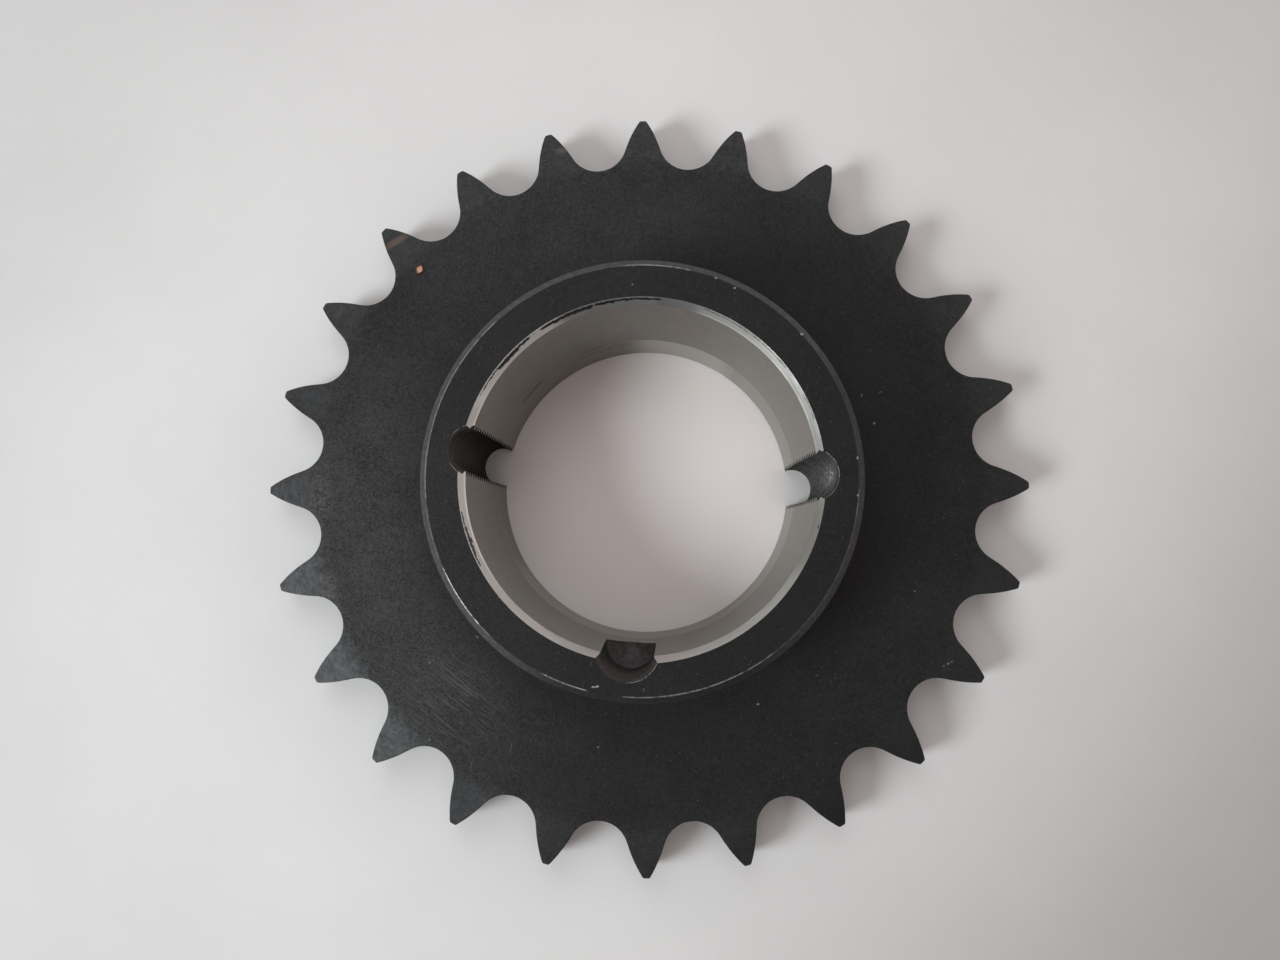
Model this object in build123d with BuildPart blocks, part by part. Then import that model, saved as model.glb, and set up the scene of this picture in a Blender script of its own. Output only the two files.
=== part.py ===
from build123d import *
import os
from math import acos, cos, degrees, hypot, pi, radians, sin, tan

os.makedirs("parts", exist_ok=True)

# Roller chain sprocket, one piece of steel: a toothed plate with a hub on its front side.
# The hub is bored to a taper, right through the plate, to seat a split tapered bush.
# Three half-holes open off the bore from the hub's face. Two are tapped and run right
# through, for the screws that draw the bush in. One is blind, for the screw that frees it.
# Millimetres and degrees. The origin is on the axis in the back face, +Z runs out through
# the hub, and the blind half-hole is towards -Y.

# Chain and teeth
chain_pitch = 25.4
roller_diameter = 15.875
tooth_count = 24
tooth_width = 14.6
roller_clearance = 0.14
seating_half_angle = 66.0
flank_radius = 52.0
bevel_height = 12.7
bevel_depth = 3.2
first_tooth_angle = 4.6

# Hub and bore
overall_length = 44.45
bore_face_diameter = 85.9
bore_taper = 8.0
hub_wall = 11.2
hub_rim_chamfer = 1.75
hub_root_fillet = 1.0
bore_mouth_chamfer = 1.5
bore_back_chamfer = 0.5

# Half-holes for the bush's screws
screw_axis_inset = 1.55
blind_hole_angle = -90.0
tapped_hole_spacing = 95.0
tapped_hole_diameter = 10.6
tapped_mouth_chamfer = 1.1
blind_hole_diameter = 13.0
blind_mouth_chamfer = 1.3
blind_hole_depth = 22.0
drill_point_angle = 140.0
drill_web_diameter = 1.6
mouth_cone_angle = 90.0

# Radii that follow from the sizes above
half_pitch_angle = 180 / tooth_count
pitch_radius = chain_pitch / (2 * sin(pi / tooth_count))
seating_radius = roller_diameter / 2 + roller_clearance
tip_radius = chain_pitch * (0.6 + 1 / tan(pi / tooth_count)) / 2
bevel_start_radius = tip_radius - bevel_height
bore_face_radius = bore_face_diameter / 2
bore_back_radius = bore_face_radius - overall_length * tan(radians(bore_taper / 2))
hub_radius = bore_face_radius + hub_wall
screw_circle_radius = bore_face_radius - screw_axis_inset
drill_point_height = (blind_hole_diameter - drill_web_diameter) / 2 / tan(radians(drill_point_angle / 2))

# One tooth gap, centred on +X: a seating arc for the roller between two flank arcs that
# run tangent from its ends, out past the tips to corners clear of the blank.
gap_overrun = 1.0
corner_clearance = 5.0
gap_corner_radius = tip_radius + corner_clearance
gap_end_radius = tip_radius + gap_overrun
seat_angle = radians(seating_half_angle)
flank_reach = seating_radius + flank_radius
flank_centre_x = pitch_radius - flank_reach * cos(seat_angle)
flank_centre_y = flank_reach * sin(seat_angle)
flank_centre_radius = hypot(flank_centre_x, flank_centre_y)
flank_centre_angle = degrees(acos(flank_centre_x / flank_centre_radius))
flank_end_cosine = (flank_centre_radius**2 + gap_end_radius**2 - flank_radius**2) / (
    2 * flank_centre_radius * gap_end_radius
)
flank_end_angle = radians(flank_centre_angle - degrees(acos(flank_end_cosine)))
flank_end_x = gap_end_radius * cos(flank_end_angle)
flank_end_y = gap_end_radius * sin(flank_end_angle)
seat_end_x = pitch_radius - seating_radius * cos(seat_angle)
seat_end_y = seating_radius * sin(seat_angle)

with BuildSketch() as tooth_gap:
    with BuildLine():
        seat = ThreePointArc(
            (seat_end_x, seat_end_y),
            (pitch_radius - seating_radius, 0),
            (seat_end_x, -seat_end_y),
        )
        TangentArc(seat @ 1, (flank_end_x, -flank_end_y), tangent=seat % 1)
        TangentArc(seat @ 0, (flank_end_x, flank_end_y), tangent=(seat % 0) * -1)
        Polyline(
            (flank_end_x, flank_end_y),
            (gap_corner_radius, flank_end_y),
            (gap_corner_radius, -flank_end_y),
            (flank_end_x, -flank_end_y),
        )
    make_face()

with BuildPart() as sprocket:
    # Turned blank: bevelled plate, hub and tapered bore in one section.
    with BuildSketch(Plane.XZ):
        with BuildLine():
            back_face = Line((bore_back_radius, 0), (bevel_start_radius, 0))
            back_bevel = TangentArc(back_face @ 1, (tip_radius, bevel_depth), tangent=back_face % 1)
            tip_land = Line(back_bevel @ 1, (tip_radius, tooth_width - bevel_depth))
            front_bevel = TangentArc((bevel_start_radius, tooth_width), tip_land @ 1, tangent=(1, 0))
            plate_front = Line(front_bevel @ 0, (hub_radius, tooth_width))
            hub_side = Line(plate_front @ 1, (hub_radius, overall_length))
            hub_face = Line(hub_side @ 1, (bore_face_radius, overall_length))
            Line(hub_face @ 1, back_face @ 0)
        make_face()
    revolve(axis=Axis.Z)

    # Turned edges: the hub's rim, the bore's two mouths and the corner at the hub's root.
    rings = sprocket.edges().filter_by(GeomType.CIRCLE)
    chamfer(rings.group_by(Axis.Z)[-1].sort_by(SortBy.RADIUS)[-1], hub_rim_chamfer)
    rings = sprocket.edges().filter_by(GeomType.CIRCLE)
    chamfer(rings.group_by(Axis.Z)[-1].sort_by(SortBy.RADIUS)[0], bore_mouth_chamfer)
    rings = sprocket.edges().filter_by(GeomType.CIRCLE)
    chamfer(rings.group_by(Axis.Z)[0].sort_by(SortBy.RADIUS)[0], bore_back_chamfer)
    rings = sprocket.edges().filter_by(GeomType.CIRCLE)
    root_ring = rings.filter_by_position(Axis.Z, tooth_width, tooth_width).sort_by(SortBy.RADIUS)[0]
    fillet(root_ring, hub_root_fillet)

    # Teeth: one gap for each roller, right through the plate.
    with BuildSketch():
        with PolarLocations(0, tooth_count, start_angle=first_tooth_angle + half_pitch_angle):
            add(tooth_gap.sketch)
    extrude(amount=tooth_width, mode=Mode.SUBTRACT)

    # Two tapped half-holes, spaced evenly from the blind one.
    with Locations(Plane.XY.offset(overall_length)):
        with PolarLocations(
            screw_circle_radius,
            2,
            start_angle=blind_hole_angle + tapped_hole_spacing,
            angular_range=360 - 2 * tapped_hole_spacing,
            endpoint=True,
        ):
            CounterSinkHole(
                radius=tapped_hole_diameter / 2,
                counter_sink_radius=tapped_hole_diameter / 2 + tapped_mouth_chamfer,
                counter_sink_angle=mouth_cone_angle,
            )

    # Blind half-hole, with the shallow blunt cone that its drill leaves.
    with Locations(Plane.XY.offset(overall_length)):
        with PolarLocations(screw_circle_radius, 1, start_angle=blind_hole_angle):
            CounterSinkHole(
                radius=blind_hole_diameter / 2,
                counter_sink_radius=blind_hole_diameter / 2 + blind_mouth_chamfer,
                depth=blind_hole_depth,
                counter_sink_angle=mouth_cone_angle,
            )
    with Locations(Plane.XY.offset(overall_length - blind_hole_depth)):
        with PolarLocations(screw_circle_radius, 1, start_angle=blind_hole_angle):
            Cone(
                bottom_radius=drill_web_diameter / 2,
                top_radius=blind_hole_diameter / 2,
                height=drill_point_height,
                align=(Align.CENTER, Align.CENTER, Align.MAX),
                mode=Mode.SUBTRACT,
            )

sprocket.part.label = "sprocket"
export_step(sprocket.part, "parts/sprocket.step")
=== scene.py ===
from math import cos, pi, radians, sin, tan

import bpy
from mathutils import Euler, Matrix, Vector


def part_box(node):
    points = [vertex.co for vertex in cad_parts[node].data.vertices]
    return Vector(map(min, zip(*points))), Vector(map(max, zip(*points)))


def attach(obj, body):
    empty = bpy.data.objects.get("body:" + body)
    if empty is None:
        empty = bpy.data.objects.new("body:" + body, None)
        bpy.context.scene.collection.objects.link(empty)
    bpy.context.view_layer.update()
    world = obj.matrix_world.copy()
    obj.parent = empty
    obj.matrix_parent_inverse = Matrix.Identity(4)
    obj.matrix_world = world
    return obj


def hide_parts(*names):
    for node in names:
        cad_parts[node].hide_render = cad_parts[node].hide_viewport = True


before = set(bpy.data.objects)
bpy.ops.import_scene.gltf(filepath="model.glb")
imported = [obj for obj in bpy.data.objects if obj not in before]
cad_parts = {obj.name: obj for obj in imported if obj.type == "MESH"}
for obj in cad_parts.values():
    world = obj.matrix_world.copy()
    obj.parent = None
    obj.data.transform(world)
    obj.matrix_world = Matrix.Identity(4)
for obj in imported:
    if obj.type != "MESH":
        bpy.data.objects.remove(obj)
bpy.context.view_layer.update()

mm = 0.001

# ---------------------------------------------------------------------------
# Sprocket blank: plate, one-sided hub and taper bore
# One piece of medium-carbon steel, turned all over on a lathe. The plate carries 24
# teeth for 25.4 mm roller chain; the hub stands on its front and is bored to a taper.
# ---------------------------------------------------------------------------

tooth_count = 24
chain_pitch = 25.4 * mm
seat_radius = 8.0775 * mm
seat_half_angle = radians(66)
flank_radius = 52.0 * mm
first_tooth_angle = radians(4.6)
tip_radius = chain_pitch * (0.6 + 1 / tan(pi / tooth_count)) / 2
tip_corner_rounding = 0.35 * mm
tooth_edge_rounding = 0.22 * mm

plate_thickness = 14.6 * mm
bevel_width = 12.7 * mm
bevel_depth = 3.2 * mm
tooth_zone_radius = 86.0 * mm

hub_height = (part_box("sprocket")[1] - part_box("sprocket")[0]).z
hub_radius = 54.15 * mm
hub_rim_chamfer = 1.75 * mm
hub_root_fillet = 1.0 * mm
worn_edge_rounding = 0.28 * mm

bore_face_radius = 42.95 * mm
bore_taper = radians(4)
bore_slope = tan(bore_taper)
bore_back_radius = bore_face_radius - hub_height * bore_slope
mouth_chamfer = 1.5 * mm
back_chamfer = 0.5 * mm
crisp_edge_rounding = 0.1 * mm

# The mesh: columns round each tooth and how they crowd to its tip, rows on the faces, in
# the bore and under the teeth, and the bend above which an edge stays sharp
columns_per_tooth = 56
column_crowding = 1.5
front_row_radii = (62 * mm, 74 * mm)
back_row_radii = (70 * mm, 55 * mm)
bore_row_shares = (0.25, 0.5, 0.75)
tooth_row_reaches = (0.0, 0.22, 0.42, 0.58, 0.72, 0.84, 0.93)
rounding_points = 3
slope_nudge = 0.002
sharp_bend = radians(33)


class Field:
    """A number that varies over a mesh or a surface; arithmetic on it adds Math nodes."""

    def __init__(self, socket):
        self.socket = socket
        self.tree = socket.id_data

    def math(self, operation, *others):
        made = self.tree.nodes.new("ShaderNodeMath")
        made.operation = operation
        for slot, value in zip(made.inputs, (self, *others)):
            fill(slot, value)
        return Field(made.outputs[0])

    def __add__(self, other):
        return self.math("ADD", other)

    __radd__ = __add__

    def __sub__(self, other):
        return self.math("SUBTRACT", other)

    def __rsub__(self, other):
        return (self * -1) + other

    def __mul__(self, other):
        return self.math("MULTIPLY", other)

    __rmul__ = __mul__

    def __truediv__(self, other):
        return self.math("DIVIDE", other)

    def __rtruediv__(self, other):
        return self.math("POWER", -1.0) * other

    def __pow__(self, other):
        return self.math("POWER", other)

    def __abs__(self):
        return self.math("ABSOLUTE")

    def low(self, other):
        return self.math("MINIMUM", other)

    def high(self, other):
        return self.math("MAXIMUM", other)

    def step(self, start, end):
        """0 up to start, 1 from end on, and a smooth rise between; start may be above end."""
        made = node(
            self.tree,
            "ShaderNodeMapRange",
            {"Value": self, "From Min": start, "From Max": end},
            interpolation_type="SMOOTHSTEP",
        )
        return Field(made.outputs[0])


def fill(slot, value):
    """Links a socket or a Field into a node's input, or sets a plain value on it."""
    if isinstance(value, Field):
        value = value.socket
    if isinstance(value, bpy.types.NodeSocket):
        slot.id_data.links.new(value, slot)
    else:
        slot.default_value = value


def node(tree, kind, inputs=None, **options):
    """Adds a node, sets its options and fills its inputs by name or number."""
    made = tree.nodes.new(kind)
    for option, value in options.items():
        setattr(made, option, value)
    for name, value in (inputs or {}).items():
        fill(made.inputs[name], value)
    return made


def new_group(name, inputs, outputs, kind="ShaderNodeTree"):
    """An empty node group, and its inputs as Fields by name.

    An input is given as its default number or, where it has none, as its kind.
    """
    tree = bpy.data.node_groups.new(name, kind)
    for label, value in inputs.items():
        made_of = value if isinstance(value, str) else type(value).__name__.capitalize()
        made = tree.interface.new_socket(label, in_out="INPUT", socket_type="NodeSocket" + made_of)
        if made_of != value:
            made.default_value = value
    for label, made_of in outputs.items():
        tree.interface.new_socket(label, in_out="OUTPUT", socket_type="NodeSocket" + made_of)
    source = tree.nodes.new("NodeGroupInput")
    return tree, {label: Field(source.outputs[label]) for label in inputs}


def ended(tree, outputs):
    """Fills a node group's outputs by name and returns the group."""
    node(tree, "NodeGroupOutput", outputs)
    return tree


def use(tree, group, inputs):
    """Places a node group in a tree and fills its inputs by name."""
    made = tree.nodes.new(tree.bl_idname.replace("NodeTree", "NodeGroup"))
    made.node_tree = group
    for name, value in inputs.items():
        fill(made.inputs[name], value)
    return made


def fields(made, *names):
    """A node's outputs, as Fields."""
    return [Field(made.outputs[name]) for name in names]


def axes(tree, place):
    """A vector's three numbers."""
    return fields(node(tree, "ShaderNodeSeparateXYZ", {0: place}), *"XYZ")


def vector(tree, x=0.0, y=0.0, z=0.0):
    """A vector made of three numbers."""
    return Field(node(tree, "ShaderNodeCombineXYZ", {"X": x, "Y": y, "Z": z}).outputs[0])


def vector_math(tree, operation, place, other, result=0):
    """Two vectors combined; for SCALE the other is a number."""
    inputs = {0: place, "Scale" if operation == "SCALE" else 1: other}
    return Field(node(tree, "ShaderNodeVectorMath", inputs, operation=operation).outputs[result])


outline_sizes = {
    "Teeth": tooth_count,
    "Chain Pitch": chain_pitch,
    "Seat Radius": seat_radius,
    "Seat Half Angle": seat_half_angle,
    "Flank Radius": flank_radius,
    "Tip Radius": tip_radius,
    "Corner Rounding": tip_corner_rounding,
}


def outline_group():
    """The teeth's outline: its radius at an angle counted from a tooth's middle."""
    inputs = {"Angle": 0.0, **outline_sizes}
    tree, given = new_group("tooth_outline", inputs, {"Radius": "Float"}, "GeometryNodeTree")
    half = pi / given["Teeth"]
    from_tip = abs((given["Angle"] / (half * 2) + 0.5).math("FRACT") - 0.5) * half * 2
    angle = half - from_tip
    pitch_radius = given["Chain Pitch"] / (half.math("SINE") * 2)
    seat, flank = given["Seat Radius"], given["Flank Radius"]
    seat_cos = given["Seat Half Angle"].math("COSINE")
    seat_sin = given["Seat Half Angle"].math("SINE")

    # The roller seat is an arc round the pitch point; the flank then curves the other way.
    seat_at = (seat**2 - (pitch_radius * angle.math("SINE")) ** 2).high(0.0).math("SQRT")
    seat_line = pitch_radius * angle.math("COSINE") - seat_at
    centre_x = pitch_radius - (seat + flank) * seat_cos
    centre_y = (seat + flank) * seat_sin
    centre_radius = (centre_x**2 + centre_y**2).math("SQRT")
    swing = centre_y.math("ARCTAN2", centre_x) - angle
    flank_at = (flank**2 - (centre_radius * swing.math("SINE")) ** 2).high(0.0).math("SQRT")
    flank_line = centre_radius * swing.math("COSINE") + flank_at

    seat_end = (seat * seat_sin).math("ARCTAN2", pitch_radius - seat * seat_cos)
    on_seat = angle.math("LESS_THAN", seat_end)
    line = flank_line + on_seat * (seat_line - flank_line)
    radius = line.math("SMOOTH_MIN", given["Tip Radius"], given["Corner Rounding"])
    return ended(tree, {"Radius": radius})


def stored(tree, geometry, name, value, data_type="FLOAT", domain="POINT"):
    """Keeps a value on the geometry under a name."""
    made = node(tree, "GeometryNodeStoreNamedAttribute", data_type=data_type, domain=domain)
    fill(made.inputs["Geometry"], geometry)
    fill(made.inputs["Name"], name)
    fill(made.inputs["Value"], value)
    return made.outputs[0]


def attribute(tree, name, data_type="FLOAT"):
    """Reads a value that is kept on the geometry."""
    made = node(tree, "GeometryNodeInputNamedAttribute", {"Name": name}, data_type=data_type)
    return made.outputs[0]


def blank_group():
    """Turns the section round the axis and cuts its rim to the teeth's outline."""
    inputs = {
        "Section": "Geometry",
        "Columns per Tooth": columns_per_tooth,
        "First Tooth Angle": first_tooth_angle,
        **outline_sizes,
        "Bevel Width": bevel_width,
        "Bevel Depth": bevel_depth,
    }
    tree, given = new_group("toothed_blank", inputs, {"Geometry": "Geometry"}, "GeometryNodeTree")

    # The section's corners are rounded, then its radius and height ride along as an attribute.
    section = node(tree, "GeometryNodeMeshToCurve", {"Mesh": given["Section"]}).outputs[0]
    corners = {
        "Curve": section,
        "Count": rounding_points,
        "Radius": attribute(tree, "lathe_rounding"),
        "Limit Radius": True,
    }
    rounded = node(tree, "GeometryNodeFilletCurve", corners, mode="POLY").outputs[0]
    place = tree.nodes.new("GeometryNodeInputPosition").outputs[0]
    section = stored(tree, rounded, "lathe_section", place, "FLOAT_VECTOR")

    # Columns crowd towards the tooth tips, where the outline turns sharply.
    columns = given["Teeth"] * given["Columns per Tooth"]
    circle = {"Resolution": columns, "Radius": given["Tip Radius"]}
    ring = node(tree, "GeometryNodeCurvePrimitiveCircle", circle).outputs[0]
    index = Field(tree.nodes.new("GeometryNodeInputIndex").outputs[0])
    along = index / given["Columns per Tooth"]
    tooth = (along + 0.5).math("FLOOR")
    within = (along - tooth) * 2
    half = pi / given["Teeth"]
    turn = tooth * half * 2 + within.math("SIGN") * abs(within) ** column_crowding * half

    outline = outline_group()
    shared = {size: given[size] for size in outline_sizes}

    def rim(angle):
        made = use(tree, outline, {"Angle": angle, **shared})
        return Field(made.outputs[0])

    radius = rim(turn)
    lean = (rim(turn + slope_nudge) - rim(turn - slope_nudge)) / (2 * slope_nudge) / radius
    heading = turn + given["First Tooth Angle"]
    facing = vector(tree, heading.math("COSINE"), heading.math("SINE"))
    ring = stored(tree, ring, "lathe_facing", facing, "FLOAT_VECTOR")
    ring = stored(tree, ring, "lathe_rim", radius)
    ring = stored(tree, ring, "lathe_lean", (lean**2 + 1).math("SQRT"))
    sweep = {"Curve": ring, "Profile Curve": section}
    swept = node(tree, "GeometryNodeCurveToMesh", sweep).outputs[0]

    # Rows with a reach stretch out to the outline; the bevel's arc then sets their height.
    base, _, height = axes(tree, attribute(tree, "lathe_section", "FLOAT_VECTOR"))
    rim_radius = Field(attribute(tree, "lathe_rim"))
    inset = Field(attribute(tree, "lathe_inset")) * Field(attribute(tree, "lathe_lean"))
    reached = base + Field(attribute(tree, "lathe_reach")) * (rim_radius - inset - base)
    width, depth = given["Bevel Width"], given["Bevel Depth"]
    arc = (width**2 + depth**2) / (depth * 2)
    out = (reached - (given["Tip Radius"] - width)).high(0.0)
    drop = arc - (arc**2 - out**2).math("SQRT") + Field(attribute(tree, "lathe_sink"))
    raised = height - drop * Field(attribute(tree, "lathe_side"))
    flat = vector_math(tree, "SCALE", attribute(tree, "lathe_facing", "FLOAT_VECTOR"), reached)
    placed = {"Geometry": swept, "Position": vector_math(tree, "ADD", flat, vector(tree, z=raised))}
    turned = node(tree, "GeometryNodeSetPosition", placed).outputs[0]
    bored = attribute(tree, "lathe_bored", "BOOLEAN")
    turned = stored(tree, turned, "lathe_bare_face", bored, "BOOLEAN", "FACE")
    return ended(tree, {"Geometry": turned})


def section_mesh():
    """The section's corners, from the bore's back edge round to it, with what the tree needs."""
    rows = []

    def row(radius, height, rounding=0.0, bored=False, reach=0.0, inset=0.0, sink=0.0, side=0):
        rows.append((radius, height, rounding, bored, reach, inset, sink, side))

    crisp, worn = crisp_edge_rounding, worn_edge_rounding
    row(bore_back_radius + back_chamfer, 0.0, crisp, True)
    row(bore_back_radius + back_chamfer * bore_slope, back_chamfer, crisp, True)
    for share in bore_row_shares:
        row(bore_back_radius + share * hub_height * bore_slope, share * hub_height, 0.0, True)
    mouth = cos(bore_taper) * mouth_chamfer
    row(bore_face_radius - mouth * bore_slope, hub_height - mouth, crisp, True)
    row(bore_face_radius + mouth_chamfer, hub_height, crisp, True)
    row((bore_face_radius + hub_radius) / 2, hub_height)
    row(hub_radius - hub_rim_chamfer, hub_height, worn)
    row(hub_radius, hub_height - hub_rim_chamfer, worn)
    row(hub_radius, (hub_height + plate_thickness) / 2)
    row(hub_radius, plate_thickness, hub_root_fillet)
    for radius in front_row_radii:
        row(radius, plate_thickness, side=1)

    zone, edge = tooth_zone_radius, tooth_edge_rounding
    bends = [pi / 2 * part / rounding_points for part in range(rounding_points + 1)]
    round_edge = [(edge * (1 - sin(bend)), edge * (1 - cos(bend))) for bend in bends]
    for reach in tooth_row_reaches:
        row(zone, plate_thickness, reach=reach, inset=edge, side=1)
    for inset, sink in round_edge:
        row(zone, plate_thickness, reach=1, inset=inset, sink=sink, side=1)
    row(zone, plate_thickness / 2, reach=1)
    for inset, sink in reversed(round_edge):
        row(zone, 0.0, reach=1, inset=inset, sink=sink, side=-1)
    for reach in reversed(tooth_row_reaches):
        row(zone, 0.0, reach=reach, inset=edge, side=-1)
    for radius in back_row_radii:
        row(radius, 0.0, side=-1)

    mesh = bpy.data.meshes.new("sprocket_section")
    links = [(at, (at + 1) % len(rows)) for at in range(len(rows))]
    mesh.from_pydata([(entry[0], 0, entry[1]) for entry in rows], links, [])
    for at, name in enumerate(("rounding", "bored", "reach", "inset", "sink", "side"), start=2):
        kind = "BOOLEAN" if name == "bored" else "FLOAT"
        layer = mesh.attributes.new("lathe_" + name, kind, "POINT")
        layer.data.foreach_set("value", [entry[at] for entry in rows])
    return mesh


# Half-holes in the bore's edge
# Three holes drilled parallel to the axis before boring, so half of each is left. Two go
# right through and are tapped 1/2 inch; the third is plain and stops at the drill's point.

screw_circle_radius = 41.4 * mm
blind_hole_angle = radians(-90)
tapped_hole_angles = (radians(5), radians(175))
tap_drill_radius = 5.3 * mm
thread_radius = 6.35 * mm
thread_pitch = 25.4 / 12 * mm
tapped_mouth_radius = 6.4 * mm
blind_hole_radius = 6.5 * mm
blind_mouth_radius = 7.8 * mm
blind_hole_depth = 22.0 * mm
drill_web_radius = 0.8 * mm
drill_point_slope = tan(radians(70))
overrun = 1.0 * mm
# Where the thread's groove starts and is full, as shares of half a turn, and the meshes'
# sides and rows
groove_start, groove_full = 0.06, 0.94
tapped_sides, tapped_rows = 48, 210
plain_sides, plain_rows = 72, 60


def hole_group():
    """A hole's solid inside: drilled or tapped wall, countersunk mouth and drill point."""
    inputs = {
        "Circle Radius": screw_circle_radius,
        "Angle": 0.0,
        "Drill Radius": tap_drill_radius,
        "Thread Radius": thread_radius,
        "Thread Pitch": thread_pitch,
        "Mouth Radius": tapped_mouth_radius,
        "Face Height": hub_height,
        "Bottom": -overrun,
        "Point Width": drill_web_radius,
        "Sides": tapped_sides,
        "Rows": tapped_rows,
    }
    tree, given = new_group("half_hole", inputs, {"Geometry": "Geometry"}, "GeometryNodeTree")
    rod = {"Vertices": given["Sides"], "Side Segments": given["Rows"], "Radius": 1.0, "Depth": 1.0}
    pin = node(tree, "GeometryNodeMeshCylinder", rod, fill_type="NGON").outputs[0]
    x, y, z = axes(tree, tree.nodes.new("GeometryNodeInputPosition").outputs[0])
    around = y.math("ARCTAN2", x)
    top = given["Face Height"] + overrun
    height = given["Bottom"] + (z + 0.5) * (top - given["Bottom"])

    # The thread is right-handed, with rounded crests and roots.
    turn = (height / given["Thread Pitch"] - around / (2 * pi)).math("FRACT")
    groove = (1 - abs(turn * 2 - 1)).step(groove_start, groove_full)
    wall = given["Drill Radius"] + (given["Thread Radius"] - given["Drill Radius"]) * groove
    mouth = given["Mouth Radius"] - given["Face Height"] + height
    point = given["Point Width"] + (height - given["Bottom"]) * drill_point_slope
    radius = wall.high(mouth).low(point)
    across = given["Circle Radius"] + radius * around.math("COSINE")
    spot = vector(tree, across, radius * around.math("SINE"), height)
    pin = node(tree, "GeometryNodeSetPosition", {"Geometry": pin, "Position": spot}).outputs[0]
    swing = vector(tree, z=given["Angle"])
    pin = node(tree, "GeometryNodeTransform", {"Geometry": pin, "Rotation": swing}).outputs[0]
    pin = stored(tree, pin, "lathe_hole_face", True, "BOOLEAN", "FACE")
    return ended(tree, {"Geometry": pin})


def sprocket_group():
    """The finished sprocket: the toothed blank less its three half-holes."""
    inputs = {
        "Section": "Geometry",
        "Teeth": tooth_count,
        "Columns per Tooth": columns_per_tooth,
        "Blind Hole Angle": blind_hole_angle,
        "First Tapped Hole Angle": tapped_hole_angles[0],
        "Second Tapped Hole Angle": tapped_hole_angles[1],
        "Finish": "Material",
        "Bore Finish": "Material",
        "Hole Finish": "Material",
    }
    tree, given = new_group("sprocket", inputs, {"Geometry": "Geometry"}, "GeometryNodeTree")
    shared = ("Section", "Teeth", "Columns per Tooth")
    blank = use(tree, blank_group(), {name: given[name] for name in shared}).outputs[0]
    hole = hole_group()
    tools = []
    for name in ("First Tapped Hole Angle", "Second Tapped Hole Angle"):
        tapped = {"Angle": given[name], "Point Width": thread_radius * 2}
        tools.append(use(tree, hole, tapped).outputs[0])
    cone_height = (blind_hole_radius - drill_web_radius) / drill_point_slope
    plain = {
        "Angle": given["Blind Hole Angle"],
        "Drill Radius": blind_hole_radius,
        "Thread Radius": blind_hole_radius,
        "Mouth Radius": blind_mouth_radius,
        "Bottom": hub_height - blind_hole_depth - cone_height,
        "Sides": plain_sides,
        "Rows": plain_rows,
    }
    tools.append(use(tree, hole, plain).outputs[0])
    joined = tree.nodes.new("GeometryNodeJoinGeometry")
    for tool in tools:
        tree.links.new(tool, joined.inputs[0])
    pair = {"Mesh 1": blank, "Mesh 2": joined.outputs[0]}
    cut = node(tree, "GeometryNodeMeshBoolean", pair, operation="DIFFERENCE", solver="MANIFOLD")
    smooth = {"Geometry": cut.outputs[0], "Shade Smooth": True}
    whole = node(tree, "GeometryNodeSetShadeSmooth", smooth, domain="FACE").outputs[0]
    (bend,) = fields(tree.nodes.new("GeometryNodeInputMeshEdgeAngle"), 0)
    sharp = {
        "Geometry": whole,
        "Selection": bend.math("GREATER_THAN", sharp_bend),
        "Shade Smooth": False,
    }
    whole = node(tree, "GeometryNodeSetShadeSmooth", sharp, domain="EDGE").outputs[0]
    whole = node(tree, "GeometryNodeRealizeInstances", {"Geometry": whole}).outputs[0]
    coated = {"Geometry": whole, "Material": given["Finish"]}
    whole = node(tree, "GeometryNodeSetMaterial", coated).outputs[0]
    for mark, finish in (("lathe_bare_face", "Bore Finish"), ("lathe_hole_face", "Hole Finish")):
        chosen = attribute(tree, mark, "BOOLEAN")
        faces = {"Geometry": whole, "Selection": chosen, "Material": given[finish]}
        whole = node(tree, "GeometryNodeSetMaterial", faces).outputs[0]
    return ended(tree, {"Geometry": whole})


# Finishes of the steel
# The piece is blackened all over in a hot bath once its teeth are cut, which leaves a thin
# matt coat. The bore and the chamfer at its mouth are machined afterwards, so they are
# bare, with scraps of black left on the chamfer.

coat_black = (0.0028, 0.0028, 0.0029, 1.0)
coat_grey = (0.066, 0.0665, 0.068, 1.0)
bevel_black = (0.015, 0.016, 0.017, 1.0)
bevel_grey = (0.11, 0.117, 0.122, 1.0)
rim_black = (0.022, 0.023, 0.024, 1.0)
rim_grey = (0.078, 0.079, 0.08, 1.0)
bright_steel = (0.56, 0.55, 0.53, 1.0)
scuff_grey = (0.085, 0.086, 0.088, 1.0)
dust_grey = (0.36, 0.35, 0.33, 1.0)
rust_and_glint_tan = (0.105, 0.08, 0.062, 1.0)
graze_tan = (0.135, 0.12, 0.112, 1.0)
flake_tan = (0.52, 0.315, 0.215, 1.0)
flake_edge = (0.2, 0.085, 0.045, 1.0)
bore_grey = (0.32, 0.325, 0.302, 1.0)
bore_dark = (0.204, 0.205, 0.188, 1.0)
bore_rose = (0.302, 0.256, 0.246, 1.0)
cut_steel = (0.53, 0.52, 0.48, 1.0)
mouth_steel = (0.325, 0.335, 0.318, 1.0)
mouth_pink = (0.35, 0.32, 0.315, 1.0)
mouth_edge = (0.58, 0.56, 0.54, 1.0)
stain_blue = (0.115, 0.118, 0.142, 1.0)
scrap_black = (0.0085, 0.0062, 0.006, 1.0)
hole_black = (0.0088, 0.006, 0.0045, 1.0)
hole_grey = (0.052, 0.05, 0.05, 1.0)
hole_worn = (0.205, 0.2, 0.198, 1.0)
hole_rubbed = (0.068, 0.066, 0.066, 1.0)


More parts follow.
